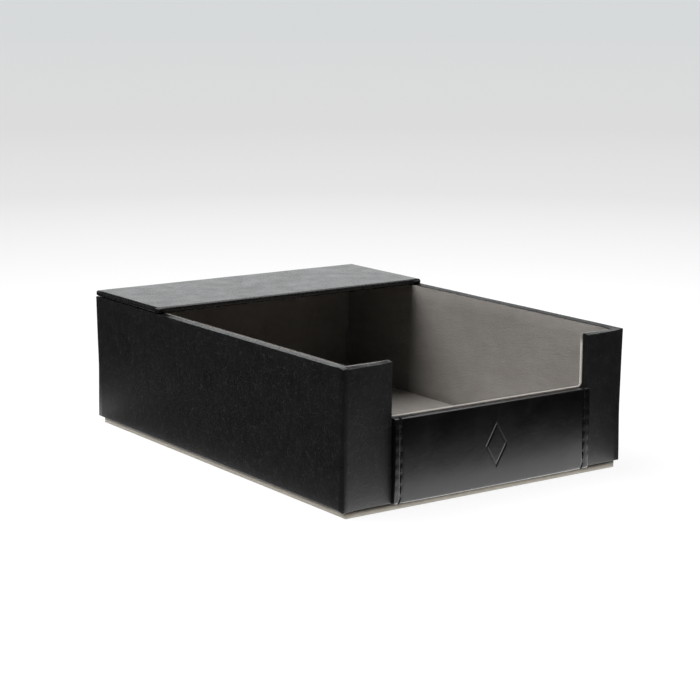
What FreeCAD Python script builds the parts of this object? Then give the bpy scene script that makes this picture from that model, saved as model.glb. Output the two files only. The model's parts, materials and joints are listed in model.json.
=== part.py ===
"""An open, leather-covered card deck box with a suede lining.

The box is a bookbinder's carcass: grey boards wrapped in black leather, with a second set of thinner
boards wrapped in suede standing inside it. The front has a wide thumb notch, and a separate stitched
panel is glued over the wall below it. A leather cover strip lies across the rear of the open top, and
a suede-covered base pad is glued under the floor.

Frame: +X to the right, +Y to the rear, +Z up, in millimetres. The origin is the centre of the
bounding box at the underside of the base pad.
"""

import FreeCAD
import Part
import Sketcher

import os

V = FreeCAD.Vector

DIMENSIONS = {
    # whole box
    "body_width": 118.6,  # over the leather
    "body_depth": 163.0,  # over the leather, without the front panel
    "body_tall": 46.9,  # leather underside to wall top
    "corner_round": 0.8,  # upright outer corners
    "edge_round": 0.6,  # rims of the leather
    # sheet materials
    "leather": 0.7,
    "suede": 0.5,
    "wall_board": 1.2,
    "liner_board": 0.9,
    "turn_in": 0.5,  # leather thickness where it is pared and folded inwards
    # leather laps
    "wall_lap": 20.0,  # how far the leather runs down inside a wall
    "notch_lap": 12.0,  # the same, below the notch
    "floor_lap": 12.0,  # how far it runs in under the floor
    # base pad
    "pad_tall": 2.5,
    "pad_round": 0.5,
    "pad_side_inset": 1.4,
    "pad_front_inset": 0.5,
    "pad_rear_inset": 1.4,
    # front notch and its stub walls; the notch sits 1.6 mm right of the middle
    "stub_left": 19.1,
    "stub_right": 15.9,
    "notch_floor": 27.5,  # above the leather underside
    "rim_drop": 0.1,  # liner rim below the leather rim
    "rim_show": 0.8,  # liner edge above the notch floor
    "rim_side": 0.1,  # liner edge inside the notch sides
    "notch_round": 2.6,  # lower corners of the liner's notch
    # cover strip
    "cover_depth": 47.0,
    "cover_tall": 2.2,
    "cover_border": 2.5,  # leather left showing round the underside lining
    # front panel
    "panel_over": 0.8,  # panel top above the notch floor
    "panel_thick": 2.6,
    "panel_board": 1.3,
    "panel_margin": 3.8,  # panel edge to its board, so that the seam misses the board
    "panel_round": 0.4,
    "stitch_inset": 2.4,  # panel edge to seam
    "stitch_first": 1.75,  # panel top to the middle of the first stitch
    "stitch_pitch": 3.7,
    "stitch_long": 2.7,
    "stitch_last": 1.6,  # length of the lowest one
    "thread_thick": 0.56,
    "seam_groove": 0.8,
    "seam_deep": 0.6,
    "mark_tall": 14.0,  # debossed lozenge
    "mark_wide": 8.4,
    "mark_line": 0.8,
    "mark_deep": 0.25,
}

doc = FreeCAD.newDocument("card_deck_box")
sheet = doc.addObject("Spreadsheet::Sheet", "dims")
for row, (alias, value) in enumerate(DIMENSIONS.items(), start=1):
    sheet.set(f"A{row}", alias)
    sheet.set(f"B{row}", str(value))
    sheet.setAlias(f"B{row}", alias)
doc.recompute()

SUBPARTS = []


def value_of(expression):
    """The number that a spreadsheet expression gives now."""
    return float(sheet.evalExpression(expression))


def keep(thing, label):
    """Registers thing as a finished sub-part."""
    thing.Label = label
    SUBPARTS.append(thing)
    return thing


def bind_place(thing, x, y, z):
    """Ties a thing's position to three expressions."""
    for axis, expression in zip("xyz", (x, y, z)):
        thing.setExpression(f"Placement.Base.{axis}", expression)


def slab(name, x, y, z):
    """A box between pairs of expressions along X, Y and Z."""
    block = doc.addObject("Part::Box", name)
    for side, (low, high) in zip(("Length", "Width", "Height"), (x, y, z)):
        block.setExpression(side, f"({high}) - ({low})")
    bind_place(block, x[0], y[0], z[0])
    return block


def cut(name, base, *tools):
    """base with each tool taken away in turn."""
    for number, tool in enumerate(tools):
        result = doc.addObject("Part::Cut", name if tool is tools[-1] else f"{name}_step{number}")
        result.Base = base
        result.Tool = tool
        base = result
    return base


def rounded(name, base, radius, chosen):
    """base with every edge that chosen accepts filleted to the radius, an alias of the sheet."""
    doc.recompute()
    size = value_of(f"dims.{radius}")
    edges = [(i, size, size) for i, edge in enumerate(base.Shape.Edges, start=1) if chosen(edge)]
    fillet = doc.addObject("Part::Fillet", name)
    fillet.Base = base
    fillet.Edges = edges
    return fillet


def runs_along(edge, axis):
    """True if a straight edge runs along X, Y or Z."""
    if edge.Curve.TypeId != "Part::GeomLine":
        return False
    return abs(abs(getattr(edge.Curve.Direction, axis)) - 1) < 1e-6


def profile_body(name, role, corners, length, at):
    """A PartDesign body: a closed outline with every corner tied to the sheet, padded by length.

    The pad grows along +X from YZ_Plane and along -Y from XZ_Plane.
    """
    body = doc.addObject("PartDesign::Body", name)
    plane = next(f for f in body.Origin.OriginFeatures if f.Role == role)
    sketch = body.newObject("Sketcher::SketchObject", f"{name}_outline")
    sketch.AttachmentSupport = [(plane, "")]
    sketch.MapMode = "FlatFace"
    points = [V(value_of(u), value_of(v), 0) for u, v in corners]
    for i, start in enumerate(points):
        sketch.addGeometry(Part.LineSegment(start, points[(i + 1) % len(points)]), False)
    for i in range(len(points)):
        sketch.addConstraint(Sketcher.Constraint("Coincident", i, 2, (i + 1) % len(points), 1))
    for i, (u, v) in enumerate(corners):
        for kind, expression in (("DistanceX", u), ("DistanceY", v)):
            index = sketch.addConstraint(Sketcher.Constraint(kind, -1, 1, i, 1, value_of(expression)))
            sketch.renameConstraint(index, f"corner{i}_{kind[-1].lower()}")
            sketch.setExpression(f"Constraints.corner{i}_{kind[-1].lower()}", expression)
    pad = body.newObject("PartDesign::Pad", f"{name}_pad")
    pad.Profile = sketch
    pad.setExpression("Length", length)
    bind_place(body, *at)
    doc.recompute()
    return body


# Planes, as expressions. Names ending in _x are distances from the centre to one side.
outer_x = "dims.body_width / 2"
board_x = f"{outer_x} - dims.leather"
wall_x = f"{board_x} - dims.wall_board"
turn_x = f"{wall_x} - dims.turn_in"
skin_x = f"{turn_x} - dims.liner_board"
well_x = f"{skin_x} - dims.suede"

front_face = "-(dims.body_depth + dims.panel_thick) / 2"
outer_front = f"{front_face} + dims.panel_thick"
board_front = f"{outer_front} + dims.leather"
wall_front = f"{board_front} + dims.wall_board"
turn_front = f"{wall_front} + dims.turn_in"
skin_front = f"{turn_front} + dims.liner_board"
well_front = f"{skin_front} + dims.suede"

outer_rear = "(dims.body_depth + dims.panel_thick) / 2"
board_rear = f"{outer_rear} - dims.leather"
wall_rear = f"{board_rear} - dims.wall_board"
turn_rear = f"{wall_rear} - dims.turn_in"
skin_rear = f"{turn_rear} - dims.liner_board"
well_rear = f"{skin_rear} - dims.suede"

under = "dims.pad_tall"
board_low = f"{under} + dims.leather"
floor_top = f"{board_low} + dims.wall_board"
wall_top = f"{under} + dims.body_tall"
board_top = f"{wall_top} - dims.leather"
rim_top = f"{wall_top} - dims.rim_drop"
liner_top = f"{rim_top} - dims.suede"
notch_low = f"{under} + dims.notch_floor"
panel_top = f"{notch_low} + dims.panel_over"
notch_left = f"-({outer_x} - dims.stub_left)"
notch_right = f"{outer_x} - dims.stub_right"
cover_top = f"{wall_top} + dims.cover_tall"
clear = "5"  # how far a cutting block runs past what it cuts


def span(half):
    """The two sides of something centred on X."""
    return f"-({half})", half


def notch_span(inset="0"):
    """The two sides of the notch, each moved in by the inset; a negative inset moves them out."""
    return f"{notch_left} + ({inset})", f"{notch_right} - ({inset})"


def notched_outline(half_width, low, top, notch, notch_base):
    """Corners of a wall across the box with the notch cut down into it."""
    left, right = notch
    return [
        (f"-({half_width})", low),
        (half_width, low),
        (half_width, top),
        (right, top),
        (right, notch_base),
        (left, notch_base),
        (left, top),
        (f"-({half_width})", top),
    ]


def carcass_boards():
    """The four walls and the floor of the outer box, in grey board."""
    keep(slab("floor_board", span(wall_x), (wall_front, wall_rear), (board_low, floor_top)), "floor_board")
    for name, low, high in (
        ("left_wall_board", f"-({board_x})", f"-({wall_x})"),
        ("right_wall_board", wall_x, board_x),
    ):
        keep(slab(name, (low, high), (wall_front, wall_rear), (board_low, board_top)), name)
    rear = slab("rear_wall_board", span(board_x), (wall_rear, board_rear), (board_low, board_top))
    keep(rear, "rear_wall_board")
    notch = notch_span("-dims.leather")
    corners = notched_outline(board_x, board_low, board_top, notch, f"{notch_low} - dims.leather")
    front = profile_body("front_wall_board", "XZ_Plane", corners, "dims.wall_board", ("0", wall_front, "0"))
    keep(front, "front_wall_board")


def body_leather():
    """One leather wrap round the four walls, folded down inside their rims and in under the floor."""
    block = slab("leather_block", span(outer_x), (outer_front, outer_rear), (under, wall_top))
    uprights = rounded("leather_uprights", block, "corner_round", lambda e: runs_along(e, "z"))

    top = value_of(wall_top)
    rims = rounded(
        "leather_rims", uprights, "edge_round", lambda e: all(abs(v.Z - top) < 1e-6 for v in e.Vertexes)
    )
    well = slab(
        "leather_well", span(turn_x), (turn_front, turn_rear), (board_low, f"{wall_top} + {clear}")
    )
    # Below the laps the wrap leaves the boards bare; the front lap follows the notch down.
    bare = slab(
        "leather_bare",
        span(wall_x),
        (turn_front, wall_rear),
        (board_low, f"{wall_top} - dims.wall_lap"),
    )
    bare_front = slab(
        "leather_bare_front",
        span(wall_x),
        (wall_front, turn_front),
        (board_low, f"{notch_low} - dims.notch_lap"),
    )
    ring = slab("leather_ring", span(board_x), (board_front, board_rear), (board_low, board_top))
    ring_core = slab("leather_ring_core", span(wall_x), (wall_front, wall_rear), (board_low, board_top))
    board_ring = cut("leather_board_ring", ring, ring_core)
    notch_sleeve = slab(
        "leather_notch_sleeve", notch_span(), (outer_front, turn_front), (notch_low, f"{wall_top} + {clear}")
    )
    sleeve_keep = slab(
        "leather_sleeve_keep",
        notch_span("-dims.leather"),
        (board_front, wall_front),
        (f"{notch_low} - dims.leather", board_top),
    )
    board_space = cut("leather_board_space", board_ring, sleeve_keep)
    under_hole = slab(
        "leather_under_hole",
        span(f"{outer_x} - dims.floor_lap"),
        (f"{outer_front} + dims.floor_lap", f"{outer_rear} - dims.floor_lap"),
        (f"{under} - {clear}", board_low),
    )
    wrap = cut(
        "body_leather", rims, well, bare, bare_front, board_space, notch_sleeve, under_hole
    )
    keep(wrap, "body_leather")


def base_pad():
    """The pad under the floor: an infill card between the laps, a board and its suede wrap."""
    pad_x = f"{outer_x} - dims.pad_side_inset"
    pad_front = f"{outer_front} + dims.pad_front_inset"
    pad_rear = f"{outer_rear} - dims.pad_rear_inset"
    lap_x = f"{outer_x} - dims.floor_lap"
    lap_front = f"{outer_front} + dims.floor_lap"
    lap_rear = f"{outer_rear} - dims.floor_lap"
    keep(slab("infill_card", span(lap_x), (lap_front, lap_rear), (under, board_low)), "infill_card")
    inner = (
        span(f"{pad_x} - dims.suede"),
        (f"{pad_front} + dims.suede", f"{pad_rear} - dims.suede"),
        ("dims.suede", under),
    )
    keep(slab("base_pad_board", *inner), "base_pad_board")
    block = slab("base_suede_block", span(pad_x), (pad_front, pad_rear), ("0", under))
    eased = rounded("base_suede_eased", block, "pad_round", lambda e: runs_along(e, "z"))
    keep(cut("base_pad_suede", eased, slab("base_suede_hollow", *inner)), "base_pad_suede")


def side_liners():
    """Left and right liner boards, each with suede on its face and over its rim."""
    length = f"({well_rear}) - ({well_front})"
    for name, sign in (("left", "-1"), ("right", "1")):
        back, face, front = (f"{sign} * ({p})" for p in (turn_x, skin_x, well_x))
        low, high = (back, face) if sign == "-1" else (face, back)
        board = slab(f"{name}_liner_board", (low, high), (well_front, well_rear), (floor_top, liner_top))
        keep(board, f"{name}_liner_board")
        corners = [
            (front, floor_top),
            (front, rim_top),
            (back, rim_top),
            (back, liner_top),
            (face, liner_top),
            (face, floor_top),
        ]
        suede = profile_body(f"{name}_liner_suede", "XZ_Plane", corners, length, ("0", well_rear, "0"))
        keep(suede, f"{name}_liner_suede")


def rear_liner():
    """The rear liner, which spans the full width between the laps."""
    keep(
        slab("rear_liner_board", span(turn_x), (skin_rear, turn_rear), (floor_top, liner_top)),
        "rear_liner_board",
    )
    corners = [
        (well_rear, floor_top),
        (well_rear, rim_top),
        (turn_rear, rim_top),
        (turn_rear, liner_top),
        (skin_rear, liner_top),
        (skin_rear, floor_top),
    ]
    suede = profile_body(
        "rear_liner_suede", "YZ_Plane", corners, f"2 * ({turn_x})", (f"-({turn_x})", "0", "0")
    )
    keep(suede, "rear_liner_suede")


def soften_notch(body, notch, low, radius):
    """Rounds the two lower corners of a notch in a profile body."""
    sides, z = [value_of(side) for side in notch], value_of(low)
    pad = body.Tip
    edges = [
        f"Edge{i}"
        for i, edge in enumerate(pad.Shape.Edges, start=1)
        if runs_along(edge, "y")
        and min(abs(edge.Vertexes[0].X - x) for x in sides) < 1e-4
        and abs(edge.Vertexes[0].Z - z) < 1e-4
    ]
    fillet = body.newObject("PartDesign::Fillet", f"{body.Name}_soft_corners")
    fillet.Base = (pad, edges)
    fillet.setExpression("Radius", radius)
    doc.recompute()


def front_liner():
    """The front liner with its round-cornered notch; the suede turns over the whole notch edge."""
    suede_notch = notch_span("dims.rim_side")
    suede_low = f"{notch_low} + dims.rim_show"
    board_notch = notch_span("dims.rim_side - dims.suede")
    board_edge = f"{suede_low} - dims.suede"
    board = profile_body(
        "front_liner_board",
        "XZ_Plane",
        notched_outline(turn_x, floor_top, liner_top, board_notch, board_edge),
        "dims.liner_board",
        ("0", skin_front, "0"),
    )
    soften_notch(board, board_notch, board_edge, "dims.notch_round + dims.suede")
    keep(board, "front_liner_board")
    blank = profile_body(
        "front_suede_blank",
        "XZ_Plane",
        notched_outline(turn_x, floor_top, rim_top, suede_notch, suede_low),
        "dims.liner_board + dims.suede",
        ("0", well_front, "0"),
    )
    soften_notch(blank, suede_notch, suede_low, "dims.notch_round")
    keep(cut("front_liner_suede", blank, board), "front_liner_suede")


def floor_liner():
    """The loose-laid floor: a board with suede on top, dropped between the wall liners."""
    board_level = f"{floor_top} + dims.liner_board"
    area = (span(well_x), (well_front, well_rear))
    keep(slab("floor_liner_board", *area, (floor_top, board_level)), "floor_liner_board")
    suede_level = f"{board_level} + dims.suede"
    keep(slab("floor_liner_suede", *area, (board_level, suede_level)), "floor_liner_suede")


def cover_strip():
    """The strip across the rear: a board in leather, with a suede lining underneath."""
    front = f"{outer_rear} - dims.cover_depth"
    block = slab("cover_block", span(outer_x), (front, outer_rear), (wall_top, cover_top))
    uprights = rounded("cover_uprights", block, "corner_round", lambda e: runs_along(e, "z"))
    high = value_of(cover_top)
    eased = rounded(
        "cover_eased", uprights, "edge_round", lambda e: all(abs(v.Z - high) < 1e-6 for v in e.Vertexes)
    )
    lining_top = f"{wall_top} + dims.suede"
    lining = (
        span(f"{outer_x} - dims.cover_border"),
        (f"{front} + dims.cover_border", f"{outer_rear} - dims.cover_border"),
        (wall_top, lining_top),
    )
    board = (
        span(board_x),
        (f"{front} + dims.leather", board_rear),
        (lining_top, f"{cover_top} - dims.leather"),
    )
    keep(slab("cover_board", *board), "cover_board")
    keep(slab("cover_lining", *lining), "cover_lining")
    keep(
        cut("cover_leather", eased, slab("cover_board_space", *board), slab("cover_lining_space", *lining)),
        "cover_leather",
    )


def front_panel():
    """The stitched panel below the notch: backing, board and a leather face with a debossed lozenge."""
    backing_front = f"{outer_front} - (dims.panel_thick - dims.leather - dims.panel_board)"
    board_face = f"{backing_front} - dims.panel_board"
    inner_z = (f"{under} + dims.leather", f"{panel_top} - dims.leather")
    backing = (notch_span("dims.leather"), (backing_front, outer_front), inner_z)
    board = (notch_span("dims.panel_margin"), (board_face, backing_front), inner_z)
    keep(slab("panel_backing", *backing), "panel_backing")
    keep(slab("panel_board", *board), "panel_board")

    block = slab("panel_block", notch_span(), (front_face, outer_front), (under, panel_top))
    face = value_of(front_face)
    eased = rounded(
        "panel_eased", block, "panel_round", lambda e: all(abs(v.Y - face) < 1e-6 for v in e.Vertexes)
    )
    tools = [slab("panel_backing_space", *backing), slab("panel_board_space", *board)]
    for name, middle in zip(("left", "right"), notch_span("dims.stitch_inset")):
        tools.append(
            slab(
                f"seam_groove_{name}",
                (f"{middle} - dims.seam_groove / 2", f"{middle} + dims.seam_groove / 2"),
                (f"{front_face} - {clear}", f"{front_face} + dims.seam_deep"),
                (f"{under} - {clear}", f"{panel_top} + {clear}"),
            )
        )
    tools.append(debossed_lozenge())
    keep(cut("panel_leather", eased, *tools), "panel_leather")


def debossed_lozenge():
    """The tool that presses a plain lozenge outline into the panel's face."""
    middle_x = value_of(f"({notch_left} + {notch_right}) / 2")
    middle_z = value_of(f"({under} + {panel_top}) / 2")
    rings = []
    for grow in (0.5, -0.5):
        half_wide = value_of(f"dims.mark_wide / 2 + {grow} * dims.mark_line")
        half_tall = half_wide * value_of("dims.mark_tall / dims.mark_wide")
        tips = [(half_wide, 0), (0, half_tall), (-half_wide, 0), (0, -half_tall)]
        points = [V(middle_x + x, value_of(front_face) - 1, middle_z + z) for x, z in tips]
        face = Part.Face(Part.makePolygon(points + points[:1]))
        rings.append(face.extrude(V(0, 1 + value_of("dims.mark_deep"), 0)))
    tool = doc.addObject("Part::Feature", "lozenge_tool")
    tool.Shape = rings[0].cut(rings[1])
    return tool


def panel_stitches():
    """Two rows of thread, each stitch a separate capsule lying in its groove, from the top down."""
    radius = value_of("dims.thread_thick / 2")
    pitch = value_of("dims.stitch_pitch")
    depth = value_of(front_face) + value_of("dims.seam_deep") - radius
    top = value_of(f"{panel_top} - dims.stitch_first + dims.stitch_long / 2")
    bottom = value_of(under)
    count = int((top - bottom) // pitch) + 1
    for name, seam in zip(("left", "right"), notch_span("dims.stitch_inset")):
        middle = value_of(seam)
        stitches = []
        for number in range(count):
            long = value_of("dims.stitch_last" if number == count - 1 else "dims.stitch_long")
            head = V(middle, depth, top - number * pitch - radius)
            foot = head - V(0, 0, long - 2 * radius)
            rod = Part.makeCylinder(radius, long - 2 * radius, foot, V(0, 0, 1))
            ends = [Part.makeSphere(radius, foot), Part.makeSphere(radius, head)]
            stitches.append(rod.multiFuse(ends).removeSplitter())
        row_of_thread = doc.addObject("Part::Feature", f"panel_stitches_{name}")
        row_of_thread.Shape = Part.makeCompound(stitches)
        keep(row_of_thread, f"panel_stitches_{name}")


def check_and_export():
    """Stops on any failed object or bad shape, then writes one STEP file for each sub-part."""
    doc.recompute()
    for thing in doc.Objects:
        if {"Invalid", "Error"} & set(thing.State):
            raise RuntimeError(f"{thing.Name} failed: {thing.State}")
    os.makedirs("parts", exist_ok=True)
    for part in SUBPARTS:
        shape = part.Shape
        if shape.isNull() or not shape.isValid() or not shape.Solids:
            raise RuntimeError(f"{part.Label} has no valid solid")
        box = shape.BoundBox
        print(
            f"{part.Label}: {len(shape.Solids)} solid(s), {shape.Volume:.1f} mm3,"
            f" {box.XLength:.2f} x {box.YLength:.2f} x {box.ZLength:.2f}"
        )
        shape.exportStep(os.path.join("parts", f"{part.Label}.step"))


carcass_boards()
body_leather()
base_pad()
side_liners()
rear_liner()
front_liner()
floor_liner()
cover_strip()
front_panel()
panel_stitches()
check_and_export()
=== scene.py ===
"""The card deck box's visible pieces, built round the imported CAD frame, with its floor, light and camera."""

import json
import math

import bmesh
import bpy
from mathutils import Matrix, Vector, noise

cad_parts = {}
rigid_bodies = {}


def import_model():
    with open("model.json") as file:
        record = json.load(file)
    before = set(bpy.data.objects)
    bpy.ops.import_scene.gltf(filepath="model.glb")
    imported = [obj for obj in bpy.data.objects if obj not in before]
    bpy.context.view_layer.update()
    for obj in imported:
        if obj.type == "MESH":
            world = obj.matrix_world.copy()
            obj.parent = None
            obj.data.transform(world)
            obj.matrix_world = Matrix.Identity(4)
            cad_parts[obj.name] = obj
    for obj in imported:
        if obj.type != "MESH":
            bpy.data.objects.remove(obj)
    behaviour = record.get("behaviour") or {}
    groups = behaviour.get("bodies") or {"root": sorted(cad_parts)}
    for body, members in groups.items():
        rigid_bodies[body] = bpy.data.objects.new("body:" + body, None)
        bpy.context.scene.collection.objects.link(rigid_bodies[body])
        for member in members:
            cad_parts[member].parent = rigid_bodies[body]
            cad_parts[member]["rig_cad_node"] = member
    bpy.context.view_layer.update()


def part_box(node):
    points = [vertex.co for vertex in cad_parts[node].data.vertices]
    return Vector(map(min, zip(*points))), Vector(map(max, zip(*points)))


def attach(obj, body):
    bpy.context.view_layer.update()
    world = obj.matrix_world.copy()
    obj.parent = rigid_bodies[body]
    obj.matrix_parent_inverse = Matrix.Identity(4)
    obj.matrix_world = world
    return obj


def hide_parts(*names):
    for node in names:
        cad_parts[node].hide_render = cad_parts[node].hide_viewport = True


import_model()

MM = 0.001
noise.seed_set(7)


def node_box(node):
    """A node's corners in millimetres, rounded to the CAD's own precision."""
    low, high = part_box(node)
    return [round(v / MM, 2) for v in low], [round(v / MM, 2) for v in high]


wrap_low, wrap_high = node_box("body_leather")


# ---------------------------------------------------------------- camera, floor and light

AZIMUTH, ELEVATION, ROLL = 0.61725, 0.19808, 0.00435
camera_data = bpy.data.cameras.new("camera")
camera_data.lens = 99.19
camera_data.sensor_width = 36.0
camera_data.clip_start = 0.01
camera_data.clip_end = 200.0
camera = bpy.data.objects.new("camera", camera_data)
forward = Vector(
    (math.sin(AZIMUTH) * math.cos(ELEVATION), math.cos(AZIMUTH) * math.cos(ELEVATION), -math.sin(ELEVATION))
)
side = Vector((math.cos(AZIMUTH), -math.sin(AZIMUTH), 0))
up = side.cross(forward)
right = math.cos(ROLL) * side + math.sin(ROLL) * up
upright = right.cross(forward)
camera.matrix_world = Matrix.Translation((-0.40021, -0.56409, 0.17419)) @ (
    Matrix((right, upright, -forward)).transposed().to_4x4()
)
bpy.context.scene.collection.objects.link(camera)
bpy.context.scene.camera = camera

view = bpy.context.scene.view_settings
view.view_transform = "Standard"
view.look = "None"


class Nodes:
    """Short calls for building a node tree."""

    def __init__(self, tree):
        self.tree = tree
        self.tree.nodes.clear()

    def add(self, kind, inputs=(), **settings):
        node = self.tree.nodes.new(kind)
        for name, value in settings.items():
            setattr(node, name, value)
        for key, value in dict(inputs).items():
            if isinstance(value, bpy.types.NodeSocket):
                self.tree.links.new(value, node.inputs[key])
            else:
                node.inputs[key].default_value = value
        return node

    def math(self, operation, a, b=0.0, c=0.0):
        return self.add("ShaderNodeMath", {0: a, 1: b, 2: c}, operation=operation).outputs[0]

    def mix(self, factor, a, b):
        node = self.add("ShaderNodeMix", {0: factor, 6: a, 7: b}, data_type="RGBA")
        return node.outputs[2]

    def span(self, value, low, high, to_low=0.0, to_high=1.0, smooth=False):
        node = self.add("ShaderNodeMapRange", {0: value, 1: low, 2: high, 3: to_low, 4: to_high})
        node.interpolation_type = "SMOOTHSTEP" if smooth else "LINEAR"
        return node.outputs[0]

    def noise(self, vector, scale, detail=2.0, roughness=0.5, distortion=0.0):
        inputs = {"Vector": vector, "Scale": scale, "Detail": detail}
        inputs.update({"Roughness": roughness, "Distortion": distortion})
        return self.add("ShaderNodeTexNoise", inputs).outputs["Fac"]

    def cells(self, vector, scale, feature="F1", randomness=1.0):
        inputs = {"Vector": vector, "Scale": scale, "Randomness": randomness}
        return self.add("ShaderNodeTexVoronoi", inputs, feature=feature).outputs["Distance"]

    def bump(self, height, distance, strength=1.0, normal=None):
        inputs = {"Height": height, "Distance": distance, "Strength": strength}
        if normal is not None:
            inputs["Normal"] = normal
        return self.add("ShaderNodeBump", inputs).outputs["Normal"]

    def stretched(self, vector, x, y, z):
        return self.add("ShaderNodeVectorMath", {0: vector, 1: (x, y, z)}, operation="MULTIPLY").outputs[0]


def grey(value):
    return (value, value, value, 1.0)


def new_material(name):
    material = bpy.data.materials.new(name)
    material.use_nodes = True
    return material, Nodes(material.node_tree)


def finish_material(nodes, **inputs):
    shader = nodes.add("ShaderNodeBsdfPrincipled", inputs)
    nodes.add("ShaderNodeOutputMaterial", {"Surface": shader.outputs[0]})


def set_ramp(ramp, stops):
    """Gives a colour ramp node its (position, colour) stops."""
    elements = ramp.color_ramp.elements
    elements[0].position, elements[0].color = stops[0]
    elements[1].position, elements[1].color = stops[-1]
    for position, colour in stops[1:-1]:
        elements.new(position).color = colour


def floor_material():
    material, n = new_material("pale_floor")
    place = n.add("ShaderNodeTexCoord").outputs["Object"]
    reach = n.add("ShaderNodeVectorMath", {0: place}, operation="LENGTH").outputs["Value"]
    ramp = n.add("ShaderNodeValToRGB", {0: n.span(reach, 0.0, 4.0)})
    levels = [(0.0, 1.0), (0.075, 0.97), (0.12, 0.86), (0.2, 0.69), (0.35, 0.61)]
    set_ramp(ramp, [(at, grey(level)) for at, level in levels] + [(1.0, (0.57, 0.59, 0.60, 1.0))])
    finish_material(
        n,
        **{
            "Base Color": grey(0.15),
            "Roughness": 1.0,
            "Specular IOR Level": 0.0,
            "Emission Color": ramp.outputs[0],
            "Emission Strength": 0.93,
        },
    )
    return material


# Half the leather body's width and depth, in metres. table_glow is centred on the origin, 1.3 mm in front of
# the body's own middle.
OUTLINE = (wrap_high[0] * MM, (wrap_high[1] - wrap_low[1]) / 2 * MM)
GLOW_REACH = 0.12
GLOW_STRENGTH = 11.5
GLOW_LEVELS = [(0.0, 1.0), (0.02, 1.0), (0.045, 0.22), (0.14, 0.18), (0.3, 0.068), (0.5, 0.019), (0.7, 0.004)]
GLOW_FAR = 0.0015
GLOW_HALF = 0.9
GLOW_HEIGHT = 0.0012
SIDES_SLANT = 0.8
SIDES_FADE = (-0.006, 0.003)
SIDES_DIM = 0.05
SOFTBOX_STRENGTH = 2.6


def add_card(name, corners, glow):
    """A card that only reflections see; its glow is a number or a function that builds it from nodes."""
    mesh = bpy.data.meshes.new(name)
    mesh.from_pydata(corners, [], [(0, 1, 2, 3)])
    card = bpy.data.objects.new(name, mesh)
    bpy.context.scene.collection.objects.link(card)
    material, n = new_material(name)
    strength = glow(n) if callable(glow) else glow
    light = n.add("ShaderNodeEmission", {"Color": grey(1.0), "Strength": strength})
    n.add("ShaderNodeOutputMaterial", {"Surface": light.outputs[0]})
    mesh.materials.append(material)
    card.visible_camera = False
    card.visible_diffuse = False
    card.visible_shadow = False
    card.visible_transmission = False


def table_glow(n):
    """Light for reflections: bright at the foot of the front and rear, fading outwards, dim beside the walls.

    It is a lighting card with a falloff of its own. The visible floor doesn't look like it.
    """
    place = n.add("ShaderNodeTexCoord").outputs["Object"]
    half = (OUTLINE[0], OUTLINE[1], 0.0)
    folded = n.add("ShaderNodeVectorMath", {0: place}, operation="ABSOLUTE").outputs[0]
    past = n.add("ShaderNodeVectorMath", {0: folded, 1: half}, operation="SUBTRACT").outputs[0]
    past = n.add("ShaderNodeVectorMath", {0: past, 1: (0.0, 0.0, 0.0)}, operation="MAXIMUM").outputs[0]
    out = n.add("ShaderNodeVectorMath", {0: past}, operation="LENGTH").outputs["Value"]
    ramp = n.add("ShaderNodeValToRGB", {0: n.span(out, 0.0, GLOW_REACH)})
    set_ramp(ramp, [(at, grey(level)) for at, level in GLOW_LEVELS] + [(1.0, grey(GLOW_FAR))])
    over = n.add("ShaderNodeSeparateXYZ", {0: past}).outputs
    beside = n.math("MULTIPLY_ADD", over["Y"], -SIDES_SLANT, over["X"])
    sides = n.span(beside, *SIDES_FADE, 1.0, SIDES_DIM, smooth=True)
    return n.math("MULTIPLY", n.math("MULTIPLY", ramp.outputs[0], sides), GLOW_STRENGTH)


def flat(x0, y0, x1, y1, z):
    """The corners of a level rectangle."""
    return [(x0, y0, z), (x1, y0, z), (x1, y1, z), (x0, y1, z)]


def make_stage():
    """The floor, the overhead lamp, the two reflection cards and the world."""
    mesh = bpy.data.meshes.new("floor")
    mesh.from_pydata(flat(-30, -30, 30, 30, 0), [], [(0, 1, 2, 3)])
    floor = bpy.data.objects.new("floor", mesh)
    bpy.context.scene.collection.objects.link(floor)
    mesh.materials.append(floor_material())
    add_card("table_glow", flat(-GLOW_HALF, -GLOW_HALF, GLOW_HALF, GLOW_HALF, GLOW_HEIGHT), table_glow)
    add_card("softbox", flat(-1.2, -0.9, 0.75, 0.75, 1.0), SOFTBOX_STRENGTH)

    lamp = bpy.data.lights.new("soft_overhead", "SUN")
    lamp.energy = 3.6
    lamp.angle = math.radians(56)
    lamp_object = bpy.data.objects.new("soft_overhead", lamp)
    lamp_object.rotation_euler = (math.radians(-24), math.radians(-28), 0)
    lamp_object.visible_glossy = False
    bpy.context.scene.collection.objects.link(lamp_object)

    world = bpy.data.worlds.new("studio")
    bpy.context.scene.world = world
    world.use_nodes = True
    n = Nodes(world.node_tree)
    direction = n.add("ShaderNodeTexCoord").outputs["Generated"]
    right_rear = (0.93, 0.37, 0.0)
    towards_side = n.add("ShaderNodeVectorMath", {0: direction, 1: right_rear}, operation="DOT_PRODUCT")
    height = n.add("ShaderNodeSeparateXYZ", {0: direction}).outputs["Z"]
    low = n.span(height, 0.30, 0.42, 1.0, 0.0, smooth=True)
    aside = n.span(towards_side.outputs["Value"], 0.3, 0.75, smooth=True)
    side_glow, room_glow = 1.12, 0.024
    glow = n.math("MULTIPLY_ADD", n.math("MULTIPLY", low, aside), side_glow, room_glow)
    sky = n.add("ShaderNodeBackground", {0: (0.97, 0.99, 1.0, 1.0), 1: glow})
    pale = n.add("ShaderNodeBackground", {0: (0.695, 0.722, 0.738, 1.0), 1: 1.0})
    seen = n.add("ShaderNodeLightPath").outputs["Is Camera Ray"]
    both = n.add("ShaderNodeMixShader", {0: seen, 1: sky.outputs[0], 2: pale.outputs[0]})
    n.add("ShaderNodeOutputWorld", {"Surface": both.outputs[0]})


make_stage()


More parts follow.
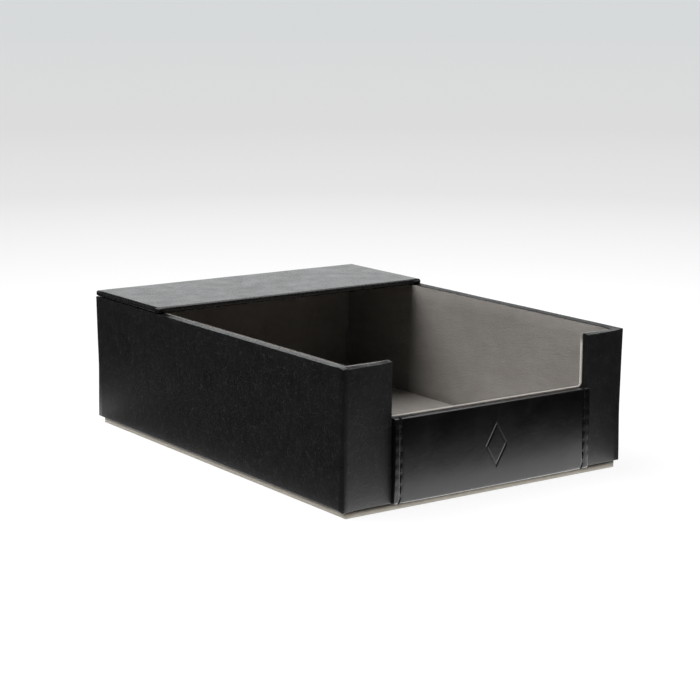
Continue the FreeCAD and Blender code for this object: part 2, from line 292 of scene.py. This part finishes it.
# ---------------------------------------------------------------- materials


def leather_material(name, roughness, grain, web, tone, gloss, rim=0.26, top_highlight=0.0):
    """Black coated leather: shallow pebbles, a broken web of paler creases and a slow unevenness.

    Faces that look up are rubbed smoother where rim is below roughness, and the last argument paints them
    paler: a painted highlight for the reflection on their tops.
    """
    material, n = new_material(name)
    place = n.add("ShaderNodeTexCoord").outputs["Object"]
    warp = n.add("ShaderNodeTexNoise", {"Vector": place, "Scale": 900.0, "Detail": 2.0})
    drift = n.add("ShaderNodeVectorMath", {0: warp.outputs["Color"], 1: (0.0006,) * 3}, operation="MULTIPLY")
    bent = n.add("ShaderNodeVectorMath", {0: place, 1: drift.outputs[0]}, operation="ADD").outputs[0]
    pebbles = n.span(n.cells(bent, 1300.0, "DISTANCE_TO_EDGE"), 0.0, 0.3, smooth=True)
    pores = n.cells(bent, 3600.0)
    mottle = n.noise(place, 140.0, 4.0, 0.65)
    slow = n.noise(place, 45.0, 2.0)
    creases = n.span(n.cells(bent, 620.0, "DISTANCE_TO_EDGE"), 0.0, 0.11, 1.0, 0.0, smooth=True)
    creases = n.math("MULTIPLY", creases, n.span(n.noise(place, 420.0, 3.0, 0.7), 0.45, 0.62))
    normal = n.bump(n.math("MULTIPLY_ADD", pores, 0.3, pebbles), 0.000012 * grain)
    normal = n.bump(creases, 0.00002 * grain, normal=normal)
    normal = n.bump(mottle, 0.00010 * grain, normal=normal)
    normal = n.bump(slow, 0.0005 * grain, 0.25, normal=normal)
    spread = n.span(mottle, 0.3, 0.7)
    colour = n.mix(spread, grey(0.70 * tone), grey(1.15 * tone))
    colour = n.mix(n.math("MULTIPLY", creases, web), colour, grey(4.0 * tone))
    geometry = n.add("ShaderNodeNewGeometry")
    facing = n.add("ShaderNodeSeparateXYZ", {0: geometry.outputs["Normal"]}).outputs["Z"]
    worn_and_highlit = n.span(facing, 0.75, 0.95, smooth=True)
    # Painted highlight: up-facing faces are made paler to stand for the reflection they catch; the same mask's
    # roughness change is real rubbing.
    if top_highlight > 0.0:
        colour = n.mix(worn_and_highlit, colour, grey(top_highlight))
    base = n.span(worn_and_highlit, 0.0, 1.0, roughness - 0.04, min(roughness, rim) - 0.04)
    rough = n.math("MULTIPLY_ADD", spread, 0.08, base)
    finish_material(
        n,
        **{
            "Base Color": colour,
            "Roughness": rough,
            "Normal": normal,
            "Specular IOR Level": gloss,
        },
    )
    return material


def suede_material(name, light, dark, painted_light_gain=1.0):
    """Short-napped suede: brushed patches, fine fibres and a soft sheen.

    With the last argument above 1, edges and front-facing suede that lie below the liner's rim are that much
    paler: a painted highlight for the light that the notch lip catches.
    """
    material, n = new_material(name)
    place = n.add("ShaderNodeTexCoord").outputs["Object"]
    patches = n.noise(place, 45.0, 4.0, 0.6, 0.8)
    brush = n.noise(n.stretched(place, 1.0, 0.35, 1.6), 260.0, 3.0, 0.6)
    fibres = n.noise(place, 5200.0, 3.0, 0.7)
    nap = n.noise(n.stretched(place, 1.0, 0.6, 1.0), 1500.0, 2.0, 0.6)
    tone = n.math("MULTIPLY_ADD", brush, 0.35, n.math("MULTIPLY", patches, 0.65))
    colour = n.mix(n.span(tone, 0.34, 0.66), dark, light)
    shade = tuple(c * 0.55 for c in dark[:3]) + (1,)
    colour = n.mix(n.math("MULTIPLY", n.span(fibres, 0.35, 0.65), 0.22), colour, shade)
    # Painted light: rounded edges and the front-facing lip below the rim are made paler to stand for the light
    # they catch.
    if painted_light_gain > 1.0:
        geometry = n.add("ShaderNodeNewGeometry")
        normal = n.add("ShaderNodeSeparateXYZ", {0: geometry.outputs["Normal"]}).outputs["Y"]
        height = n.add("ShaderNodeSeparateXYZ", {0: place}).outputs["Z"]
        edge = n.span(n.math("ABSOLUTE", normal), 0.97, 0.80, smooth=True)
        lip = n.span(normal, -0.2, -0.6, smooth=True)
        rim = n.math("MULTIPLY", n.math("MAXIMUM", edge, lip), n.span(height, 0.0455, 0.0475, 1.0, 0.0))
        colour = n.mix(rim, colour, tuple(min(1.0, c * painted_light_gain) for c in light[:3]) + (1,))
    finish_material(
        n,
        **{
            "Base Color": colour,
            "Roughness": 0.95,
            "Normal": n.bump(n.math("MULTIPLY_ADD", nap, 0.6, fibres), 0.00022),
            "Specular IOR Level": 0.12,
            "Sheen Weight": 0.5,
            "Sheen Roughness": 0.45,
            "Sheen Tint": (0.9, 0.87, 0.82, 1.0),
        },
    )
    return material


def pad_material():
    """Suede of the foot pad: painted shadow where it meets the leather above, and painted light making it pale
    towards the floor.
    """
    material, n = new_material("pad_suede")
    place = n.add("ShaderNodeTexCoord").outputs["Object"]
    fibres = n.noise(place, 3200.0, 3.0, 0.7)
    height = n.add("ShaderNodeSeparateXYZ", {0: place}).outputs["Z"]
    uneven = n.math("MULTIPLY_ADD", n.noise(place, 300.0), 0.0006, height)
    # Painted shade and light by height: dark under the leather's edge, pale near the bright floor.
    ramp = n.add("ShaderNodeValToRGB", {0: n.span(uneven, 0.0, 0.0028)})
    stops = [
        (0.12, (0.60, 0.57, 0.50, 1.0)),
        (0.35, (0.47, 0.43, 0.36, 1.0)),
        (0.7, (0.25, 0.22, 0.18, 1.0)),
        (0.88, (0.11, 0.10, 0.085, 1.0)),
        (1.0, (0.03, 0.03, 0.03, 1.0)),
    ]
    set_ramp(ramp, stops)
    finish_material(
        n,
        **{
            "Base Color": ramp.outputs[0],
            "Roughness": 0.95,
            "Normal": n.bump(fibres, 0.00015),
            "Specular IOR Level": 0.12,
            "Sheen Weight": 0.3,
        },
    )
    return material


def thread_material():
    material, n = new_material("waxed_thread")
    place = n.add("ShaderNodeTexCoord").outputs["Object"]
    fibres = n.noise(n.stretched(place, 1.0, 1.0, 0.4), 9000.0, 2.0)
    colour = n.mix(fibres, grey(0.003), grey(0.009))
    finish_material(
        n,
        **{
            "Base Color": colour,
            "Roughness": 0.6,
            "Normal": n.bump(fibres, 0.00003),
            "Specular IOR Level": 0.12,
        },
    )
    return material


def board_material():
    material, n = new_material("grey_board")
    place = n.add("ShaderNodeTexCoord").outputs["Object"]
    pulp = n.noise(place, 700.0, 5.0, 0.7)
    flecks = n.span(n.cells(place, 900.0), 0.0, 0.12, 0.0, 1.0)
    colour = n.mix(pulp, (0.34, 0.32, 0.29, 1), (0.46, 0.44, 0.40, 1))
    colour = n.mix(flecks, (0.22, 0.20, 0.18, 1), colour)
    finish_material(n, **{"Base Color": colour, "Roughness": 0.9, "Normal": n.bump(pulp, 0.00008)})
    return material


LEATHER = leather_material("black_leather", 0.46, 1.0, 0.55, 0.0078, 0.30)
# The panel leather's up-facing tops carry a painted highlight.
PANEL_LEATHER = leather_material("panel_leather", 0.20, 0.5, 0.25, 0.0030, 0.46, top_highlight=0.055)
COVER_LEATHER = leather_material("cover_leather", 0.26, 0.6, 0.2, 0.0090, 0.5)
TAUPE_LIGHT, TAUPE_DARK = (0.345, 0.322, 0.300, 1), (0.265, 0.246, 0.228, 1)
SUEDE = suede_material("taupe_suede", TAUPE_LIGHT, TAUPE_DARK)
# A lighter copy of the taupe suede for the well's floor: painted light for the lit floor inside the well.
LIT_FLOOR_SUEDE = suede_material("floor_suede", (0.455, 0.425, 0.396, 1), (0.350, 0.325, 0.301, 1))
# The notch suede's edges and lip carry a painted highlight.
NOTCH_SUEDE = suede_material("notch_suede", TAUPE_LIGHT, TAUPE_DARK, painted_light_gain=2.05)
PAD_SUEDE = pad_material()
THREAD = thread_material()
BOARD = board_material()


# ---------------------------------------------------------------- mesh building


def smooth(t):
    """Eases from 0 at t = 0 to 1 at t = 1."""
    t = min(1.0, max(0.0, t))
    return t * t * (3 - 2 * t)


def steps(low, high, spacing):
    """Evenly spaced places from low to high, both included, no further apart than spacing."""
    count = max(1, math.ceil((high - low) / spacing - 1e-6))
    return [low + (high - low) * i / count for i in range(count + 1)]


def breaks(marks, spacing):
    """The marks in order, with even steps filled in between them."""
    marks = sorted(set(marks))
    places = [marks[0]]
    for low, high in zip(marks, marks[1:]):
        places += steps(low, high, spacing)[1:]
    return places


def cell_solid(xs, ys, zs, filled):
    """A bmesh of the surface round a grid's filled cells; filled(x, y, z) is asked at each cell's centre."""
    centres = [[(a + b) / 2 for a, b in zip(v, v[1:])] for v in (xs, ys, zs)]
    full = {
        (i, j, k)
        for i, x in enumerate(centres[0])
        for j, y in enumerate(centres[1])
        for k, z in enumerate(centres[2])
        if filled(x, y, z)
    }
    bm = bmesh.new()
    made = {}

    def vert(i, j, k):
        if (i, j, k) not in made:
            made[i, j, k] = bm.verts.new((xs[i], ys[j], zs[k]))
        return made[i, j, k]

    for i, j, k in sorted(full):
        corners = {
            (-1, 0, 0): [(0, 0, 0), (0, 0, 1), (0, 1, 1), (0, 1, 0)],
            (1, 0, 0): [(1, 0, 0), (1, 1, 0), (1, 1, 1), (1, 0, 1)],
            (0, -1, 0): [(0, 0, 0), (1, 0, 0), (1, 0, 1), (0, 0, 1)],
            (0, 1, 0): [(0, 1, 0), (0, 1, 1), (1, 1, 1), (1, 1, 0)],
            (0, 0, -1): [(0, 0, 0), (0, 1, 0), (1, 1, 0), (1, 0, 0)],
            (0, 0, 1): [(0, 0, 1), (1, 0, 1), (1, 1, 1), (0, 1, 1)],
        }
        for (di, dj, dk), square in corners.items():
            if (i + di, j + dj, k + dk) not in full:
                bm.faces.new([vert(i + a, j + b, k + c) for a, b, c in square])
    return bm


def soften(bm, radius, segments, chosen):
    """Bevels the sharp edges that chosen(middle, direction) accepts."""
    edges = []
    for edge in bm.edges:
        if len(edge.link_faces) != 2 or edge.calc_face_angle() < math.radians(40):
            continue
        a, b = (v.co for v in edge.verts)
        if chosen((a + b) / 2, (b - a).normalized()):
            edges.append(edge)
    bmesh.ops.bevel(
        bm,
        geom=edges,
        offset=radius,
        offset_type="OFFSET",
        segments=segments,
        profile=0.5,
        affect="EDGES",
        clamp_overlap=True,
    )


def ripple(bm, amount, size, seed):
    """Moves every vertex along its normal by smooth noise, as hand-laid skin lies on its board."""
    bm.normal_update()
    shift = Vector((seed * 17.3, seed * 5.1, seed * 9.7))
    moves = [amount * noise.noise((v.co + shift) / size) for v in bm.verts]
    for vert, move in zip(bm.verts, moves):
        vert.co += vert.normal * move


def piece(name, bm, material, slot, *nodes, weighted=True):
    """Turns a bmesh in millimetres into a piece that rides on the root body."""
    bmesh.ops.scale(bm, vec=(MM,) * 3, verts=bm.verts)
    mesh = bpy.data.meshes.new(name)
    for face in bm.faces:
        face.smooth = True
    bm.to_mesh(mesh)
    bm.free()
    mesh.materials.append(material)
    thing = bpy.data.objects.new(name, mesh)
    bpy.context.scene.collection.objects.link(thing)
    if weighted:
        modifier = thing.modifiers.new("weighted_normals", "WEIGHTED_NORMAL")
        modifier.keep_sharp = True
        modifier.weight = 80
    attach(thing, "root")
    if nodes:
        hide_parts(*nodes)
    return thing


# ---------------------------------------------------------------- places, from the CAD nodes

side_board_low, _ = node_box("right_wall_board")
liner_low, liner_high = node_box("front_liner_suede")
side_liner_low, side_liner_high = node_box("right_liner_suede")
panel_low, panel_high = node_box("panel_leather")
cover_low, cover_high = node_box("cover_leather")
pad_low, pad_high = node_box("base_pad_suede")
floor_low, floor_high = node_box("floor_liner_suede")

OUTER_X = wrap_high[0]
TURN_X = side_liner_high[0]
WELL_X = side_liner_low[0]
FRONT, REAR = wrap_low[1], wrap_high[1]
TURN_FRONT = liner_low[1]
WELL_FRONT = liner_high[1]
WELL_REAR = side_liner_high[1]
TURN_REAR = node_box("rear_liner_suede")[1][1]
UNDER, RIM = wrap_low[2], wrap_high[2]
SKIN = side_board_low[2] - UNDER
FLOOR_TOP = side_liner_low[2]
LINER_RIM = liner_high[2]
NOTCH = (panel_low[0], panel_high[0])
PANEL_TOP = panel_high[2]
PANEL_OVER = 0.8
NOTCH_LOW = PANEL_TOP - PANEL_OVER
RIM_SHOW = 0.8
RIM_SIDE = 0.1

# How the leather departs from the CAD's straight walls, in millimetres. UPRIGHT_LEVEL is the share of the
# height at which the walls are where the CAD has them.
LEAN = 0.55
UPRIGHT_LEVEL = 0.4
FRONT_RIM_SLOPE = 0.32
LEFT_RIM_SLOPE = 0.22
RIGHT_RIM_RISE = 0.40
NOTCH_END_RISE = 0.35
PLEAT_IN = 2.4
PLEAT_DEEP = 0.40
CORNER_SAG = 0.45
COVER_SPREAD = 0.33


def at_side(x, sides=NOTCH, reach=0.1):
    """True close to either side of the notch."""
    return min(abs(x - side) for side in sides) < reach


def make_wrap():
    """The leather round the walls: over the rims, through the notch and in under the floor."""
    spacing = 4.0
    pleat = -OUTER_X + PLEAT_IN
    xs = breaks([-OUTER_X, -TURN_X, pleat - 0.35, pleat, pleat + 0.35, *NOTCH, TURN_X, OUTER_X], spacing)
    xs = sorted(xs + steps(NOTCH[0] - 3.0, NOTCH[0] - 0.3, 0.3))
    ys = breaks([FRONT, TURN_FRONT, TURN_REAR, REAR], spacing)
    zs = breaks([UNDER, UNDER + SKIN, NOTCH_LOW, RIM], spacing)
    zs += steps(NOTCH_LOW - 2.0, NOTCH_LOW - 0.2, 0.2) + steps(NOTCH_LOW + 0.2, NOTCH_LOW + 1.4, 0.2)
    zs.sort()

    def filled(x, y, z):
        if abs(x) < TURN_X and TURN_FRONT < y < TURN_REAR:
            return z < UNDER + SKIN
        return not (NOTCH[0] < x < NOTCH[1] and y < TURN_FRONT and z > NOTCH_LOW)

    bm = cell_solid(xs, ys, zs, filled)

    def outer_upright(middle, direction):
        at_end = middle.y < FRONT + 0.1 or middle.y > REAR - 0.1
        return abs(direction.z) > 0.9 and abs(middle.x) > OUTER_X - 0.1 and at_end

    soften(bm, 0.8, 5, outer_upright)

    def rim(middle, direction):
        if abs(direction.z) > 0.9:
            return at_side(middle.x) and middle.y < TURN_FRONT + 0.1 and middle.z > NOTCH_LOW
        on_floor = abs(middle.z - NOTCH_LOW) < 0.1 and middle.y < TURN_FRONT + 0.1
        on_floor = on_floor and NOTCH[0] - 0.1 < middle.x < NOTCH[1] + 0.1
        return middle.z > RIM - 0.1 or on_floor or middle.z < UNDER + 0.1

    soften(bm, 0.34, 4, rim)
    ripple(bm, 0.05, 14.0, 1)
    for vert in bm.verts:
        x, y, z = vert.co
        near_rim = smooth((z - RIM + 0.9) / 0.7)
        if y < TURN_FRONT + 0.1:
            level = FRONT_RIM_SLOPE * (1 - smooth((x - NOTCH[1] - 2) / 12))
            vert.co.z -= level * near_rim * (TURN_FRONT - y) / (TURN_FRONT - FRONT)
            vert.co.z += NOTCH_END_RISE * near_rim * smooth((x - NOTCH[0] + 5.0) / 4.0) * (x < 0)
            fold = math.exp(-(((x - pleat - 0.8 * (y - FRONT)) / 0.3) ** 2)) * near_rim
            vert.co.z -= PLEAT_DEEP * fold
            vert.co.y += 0.35 * fold * smooth((FRONT + 1.0 - y) / 0.6)
        elif x < -TURN_X + 0.1:
            vert.co.z -= LEFT_RIM_SLOPE * near_rim * (-x - TURN_X) / (OUTER_X - TURN_X)
        vert.co.z += RIGHT_RIM_RISE * near_rim * max(0.0, x - TURN_X) / (OUTER_X - TURN_X)
        splay = LEAN * ((z - UNDER) / (RIM - UNDER) - UPRIGHT_LEVEL)
        if abs(x) > TURN_X + 0.1:
            vert.co.x += math.copysign(splay, x)
        if y < TURN_FRONT - 0.1 or y > TURN_REAR + 0.1:
            vert.co.y += math.copysign(splay, y)
        if z < UNDER + 1.0:
            from_corner = math.hypot(x + OUTER_X, y - FRONT)
            sag = CORNER_SAG * math.exp(-((from_corner / 2.2) ** 2))
            vert.co.z -= sag * smooth((UNDER + 1.0 - z) / 0.8)
        if y < FRONT + 0.3:
            fades = smooth((x - NOTCH[0] + 3.0) / 1.2) * (1.0 if x < NOTCH[0] + 0.1 else 0.0)
            for level, size in ((0.5, 0.16), (-0.35, 0.24), (-1.2, 0.18)):
                lift = z - NOTCH_LOW - level - 0.12 * (x - NOTCH[0])
                vert.co.y -= size * fades * math.exp(-((lift / 0.22) ** 2))
    piece("leather_wrap", bm, LEATHER, "black_leather", "body_leather")


make_wrap()


def make_slab(name, low, high, radius, material, slot, node, amount=0.04, seed=2, edges=None):
    """A sheet-covered board: a box with rounded edges and a slightly uneven face."""
    bm = cell_solid(*(breaks([a, b], 5.0) for a, b in zip(low, high)), lambda x, y, z: True)
    soften(bm, radius, 4, edges or (lambda middle, direction: True))
    ripple(bm, amount, 10.0, seed)
    return piece(name, bm, material, slot, node)


def make_liners():
    """The side and rear liners, whose suede is drawn tight over its boards."""
    rim = LINER_RIM
    deep = (WELL_REAR - WELL_FRONT) * MM
    boxes = {
        "left": ((-TURN_X, WELL_FRONT), (-WELL_X, WELL_REAR), deep),
        "right": ((WELL_X, WELL_FRONT), (TURN_X, WELL_REAR), deep),
        "rear": ((-TURN_X, WELL_REAR), (TURN_X, TURN_REAR), 2 * TURN_X * MM),
    }
    for seed, (name, (low, high, long)) in enumerate(boxes.items(), start=3):
        thing = make_slab(
            f"{name}_suede",
            (*low, FLOOR_TOP),
            (*high, rim),
            0.6,
            SUEDE,
            "taupe_suede",
            f"{name}_liner_suede",
            seed=seed,
            edges=lambda middle, direction: middle.z > rim - 0.1,
        )


make_liners()


def make_front_liner():
    """The notched front liner; its suede turns over the notch and shows as a pale rim."""
    sides = (NOTCH[0] + RIM_SIDE, NOTCH[1] - RIM_SIDE)
    low = NOTCH_LOW + RIM_SHOW
    xs = breaks([-TURN_X, *sides, TURN_X], 5.0)
    zs = breaks([FLOOR_TOP, low, LINER_RIM], 5.0)

    def filled(x, y, z):
        return not (sides[0] < x < sides[1] and z > low)

    bm = cell_solid(xs, [TURN_FRONT, WELL_FRONT], zs, filled)

    def notch_corner(middle, direction):
        return abs(direction.y) > 0.9 and at_side(middle.x, sides) and abs(middle.z - low) < 0.1

    soften(bm, 2.6, 8, notch_corner)

    def notch_rim(middle, direction):
        top = middle.z > LINER_RIM - 0.1
        if abs(direction.y) > 0.9:
            return top and at_side(middle.x, sides)
        return top or (sides[0] - 0.1 < middle.x < sides[1] + 0.1 and middle.z > low - 0.1)

    soften(bm, 0.6, 4, notch_rim)
    ripple(bm, 0.04, 10.0, 6)
    thing = piece("front_suede", bm, NOTCH_SUEDE, "taupe_suede", "front_liner_suede")


make_front_liner()


def make_floor_and_pad():
    """The suede on the well's floor and the suede-wrapped pad under the box."""
    # The well's floor suede is painted lighter, standing for the light that falls on it.
    thing = make_slab(
        "floor_suede",
        (-WELL_X, WELL_FRONT, floor_low[2]),
        (WELL_X, WELL_REAR, floor_high[2]),
        0.2,
        LIT_FLOOR_SUEDE,
        "taupe_suede",
        "floor_liner_suede",
        amount=0.03,
        seed=8,
        edges=lambda middle, direction: middle.z > floor_high[2] - 0.1,
    )
    make_slab(
        "base_suede", pad_low, pad_high, 0.45, PAD_SUEDE, "taupe_suede", "base_pad_suede", amount=0.02, seed=9
    )


make_floor_and_pad()


def make_cover():
    """The cover strip's leather, spread at its sides to meet the leaning walls."""
    bm = cell_solid(*(breaks([a, b], 4.0) for a, b in zip(cover_low, cover_high)), lambda x, y, z: True)
    soften(bm, 1.2, 5, lambda middle, direction: abs(direction.z) > 0.9)
    soften(bm, 0.8, 5, lambda middle, direction: abs(direction.z) < 0.5)
    ripple(bm, 0.05, 16.0, 11)
    for vert in bm.verts:
        vert.co.x *= 1 + COVER_SPREAD / OUTER_X
    piece("cover_wrap", bm, COVER_LEATHER, "black_leather", "cover_leather")


make_cover()


# ---------------------------------------------------------------- front panel

SEAM_INSET = 2.4
SEAMS = (NOTCH[0] + SEAM_INSET, NOTCH[1] - SEAM_INSET)
STITCH_FIRST = 1.75
PITCH = 3.7
STITCH_LONG = 2.75
STITCHES = 7
THREAD_R = 0.27
CROWN = 0.30
FACE_ROUND = 0.4
MARK_TALL, MARK_WIDE, MARK_LINE, MARK_DEEP = 14.0, 8.4, 0.7, 0.14
PANEL_MID_X = (NOTCH[0] + NOTCH[1]) / 2
PANEL_MID_Z = (panel_low[2] + PANEL_TOP) / 2


def panel_depth(x, z):
    """How far the panel's face lies behind its frontmost plane at a place, in millimetres."""
    to_side = min(x - NOTCH[0], NOTCH[1] - x)
    to_end = min(z - panel_low[2], PANEL_TOP - z)
    u, v = max(0.0, FACE_ROUND - to_side), max(0.0, FACE_ROUND - to_end)
    reach = min(FACE_ROUND, math.hypot(u, v))
    depth = FACE_ROUND - math.sqrt(max(0.0, FACE_ROUND**2 - reach**2))
    inside = max(0.0, to_side - SEAM_INSET)
    depth += CROWN * (1 - 0.6 * smooth(inside / 9.0) - 0.4 * smooth(inside / 30.0))
    t = (z - panel_low[2]) / (PANEL_TOP - panel_low[2])
    depth += 0.22 * abs(2 * t - 1) ** 2.5
    off = to_side - SEAM_INSET
    row = (PANEL_TOP - STITCH_FIRST - z) / PITCH
    hole = 0.5 - 0.5 * math.cos(2 * math.pi * row)
    depth += math.exp(-((off / 0.42) ** 2)) * (0.30 + 0.16 * hole)
    depth += math.exp(-((off / 1.0) ** 2)) * 0.06
    depth += 0.07 * hole * math.exp(-(((off + 1.9) / 0.8) ** 2))
    half_w, half_t = MARK_WIDE / 2, MARK_TALL / 2
    away = abs(x - PANEL_MID_X) / half_w + abs(z - PANEL_MID_Z) / half_t - 1
    away *= half_w * half_t / math.hypot(half_w, half_t)
    return depth + MARK_DEEP * (1 - smooth((abs(away) - MARK_LINE * 0.2) / (MARK_LINE * 0.45)))


def zoned(low, high, zones, spacing, fine):
    """Places from low to high that are fine inside the zones and further apart elsewhere."""
    marks = {low, high}
    for a, b in zones:
        marks |= {max(low, a), min(high, b)}
    marks = sorted(marks)
    places = [marks[0]]
    for a, b in zip(marks, marks[1:]):
        middle = (a + b) / 2
        places += steps(a, b, fine if any(u < middle < v for u, v in zones) else spacing)[1:]
    return places


def make_panel():
    """The panel's leather: a crowned face with sunk seams, closed by flat sides and a flat back."""
    edge = FACE_ROUND + 0.1
    seam_zone = SEAM_INSET + 2.0
    mark_zone = MARK_WIDE / 2 + 1
    across = [
        (NOTCH[0], NOTCH[0] + seam_zone),
        (PANEL_MID_X - mark_zone, PANEL_MID_X + mark_zone),
        (NOTCH[1] - seam_zone, NOTCH[1]),
    ]
    xs = zoned(*NOTCH, across, 1.2, 0.16)
    upward = [(panel_low[2], panel_low[2] + edge), (PANEL_TOP - edge, PANEL_TOP)]
    zs = zoned(panel_low[2], PANEL_TOP, upward, 0.3, 0.08)
    front, back = panel_low[1], panel_high[1]
    bm = bmesh.new()
    rows = []
    for z in zs:
        waves = [0.03 * noise.noise(Vector((x / 9.0, z / 9.0, 3.1))) for x in xs]
        ys = [front + 0.03 + panel_depth(x, z) + wave for x, wave in zip(xs, waves)]
        rows.append([bm.verts.new((x, y, z)) for x, y in zip(xs, ys)])
    for low, high in zip(rows, rows[1:]):
        for corners in zip(low, low[1:], high[1:], high):
            bm.faces.new(corners)
    rim = rows[0] + [row[-1] for row in rows[1:]] + rows[-1][-2::-1] + [row[0] for row in rows[-2:0:-1]]
    behind = [bm.verts.new((v.co.x, back, v.co.z)) for v in rim]
    for i in range(len(rim)):
        j = (i + 1) % len(rim)
        bm.faces.new((rim[j], rim[i], behind[i], behind[j]))
    bm.faces.new(behind)
    bmesh.ops.recalc_face_normals(bm, faces=bm.faces)
    piece("panel_wrap", bm, PANEL_LEATHER, "black_leather", "panel_leather")


make_panel()


def tube(bm, points, radius, around=12, twist=2.2, lobe=0.10):
    """A closed two-ply thread through the points."""
    rings = []
    travelled = 0.0
    for index, point in enumerate(points):
        before, after = points[max(0, index - 1)], points[min(len(points) - 1, index + 1)]
        along = (after - before).normalized()
        if index:
            travelled += (point - points[index - 1]).length
        other = along.cross(Vector((1, 0, 0))).normalized()
        sidewise = other.cross(along)
        ring = []
        for k in range(around):
            angle = 2 * math.pi * k / around
            r = radius * (1 - lobe + lobe * math.cos(2 * (angle - travelled * twist)))
            place = point + sidewise * (r * math.cos(angle)) + other * (r * math.sin(angle))
            ring.append(bm.verts.new(place))
        rings.append(ring)
    for a, b in zip(rings, rings[1:]):
        for k in range(around):
            j = (k + 1) % around
            bm.faces.new((a[k], a[j], b[j], b[k]))
    bm.faces.new(rings[0][::-1])
    bm.faces.new(rings[-1])


def face_point(x, z, raised):
    """A point over the panel's face, the given height in front of the leather."""
    return Vector((x, panel_low[1] + 0.03 + panel_depth(x, z) - raised, z))


def make_stitches():
    """Seven stitches down each seam and one that turns under the foot; the first comes over the top."""
    for name, x in zip(("left", "right"), SEAMS):
        bm = bmesh.new()
        for number in range(1, STITCHES):
            middle = PANEL_TOP - STITCH_FIRST - number * PITCH
            lean = 0.25 * noise.noise(Vector((number * 1.7, x, 0.5)))
            points = []
            for i in range(15):
                t = 2 * i / 14 - 1
                z = middle + t * STITCH_LONG / 2
                points.append(face_point(x + lean * t, z, 0.14 - 0.55 * abs(t) ** 5))
            tube(bm, points, THREAD_R)
        behind = ((2.3, -0.25), (1.8, 0.08), (1.2, 0.12), (0.75, 0.02))
        over = [Vector((x, panel_low[1] + y, PANEL_TOP + z)) for y, z in behind]
        down = [face_point(x, PANEL_TOP - drop, 0.12) for drop in (0.55, 0.9, 1.4, 1.9, 2.4, 2.7)]
        tube(bm, over + down + [face_point(x, PANEL_TOP - 3.1, -0.4)], THREAD_R)
        foot = panel_low[2]
        down = [face_point(x, foot + 2.0, -0.4)]
        down += [face_point(x - (1.7 - rise) * 0.5, foot + rise, 0.12) for rise in (1.7, 1.4, 1.0, 0.6)]
        below = ((0.62, 0.08), (1.1, -0.05), (1.6, 0.12))
        under = [Vector((x - 0.9, panel_low[1] + y, foot + z)) for y, z in below]
        tube(bm, down + under, THREAD_R)
        bmesh.ops.recalc_face_normals(bm, faces=bm.faces)
        piece(f"{name}_stitches", bm, THREAD, "black_thread", f"panel_stitches_{name}", weighted=False)


make_stitches()


# ---------------------------------------------------------------- CAD nodes that stay


def paint_cad_nodes():
    """Boards, linings and the panel's backing keep their CAD shape and get a finish of their own."""
    finish = {"panel_backing": LEATHER, "cover_lining": SUEDE}
    for o in bpy.context.scene.objects:
        if "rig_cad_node" in o and not o.hide_render:
            o.data.materials.clear()
            o.data.materials.append(finish.get(o["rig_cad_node"], BOARD))


paint_cad_nodes()
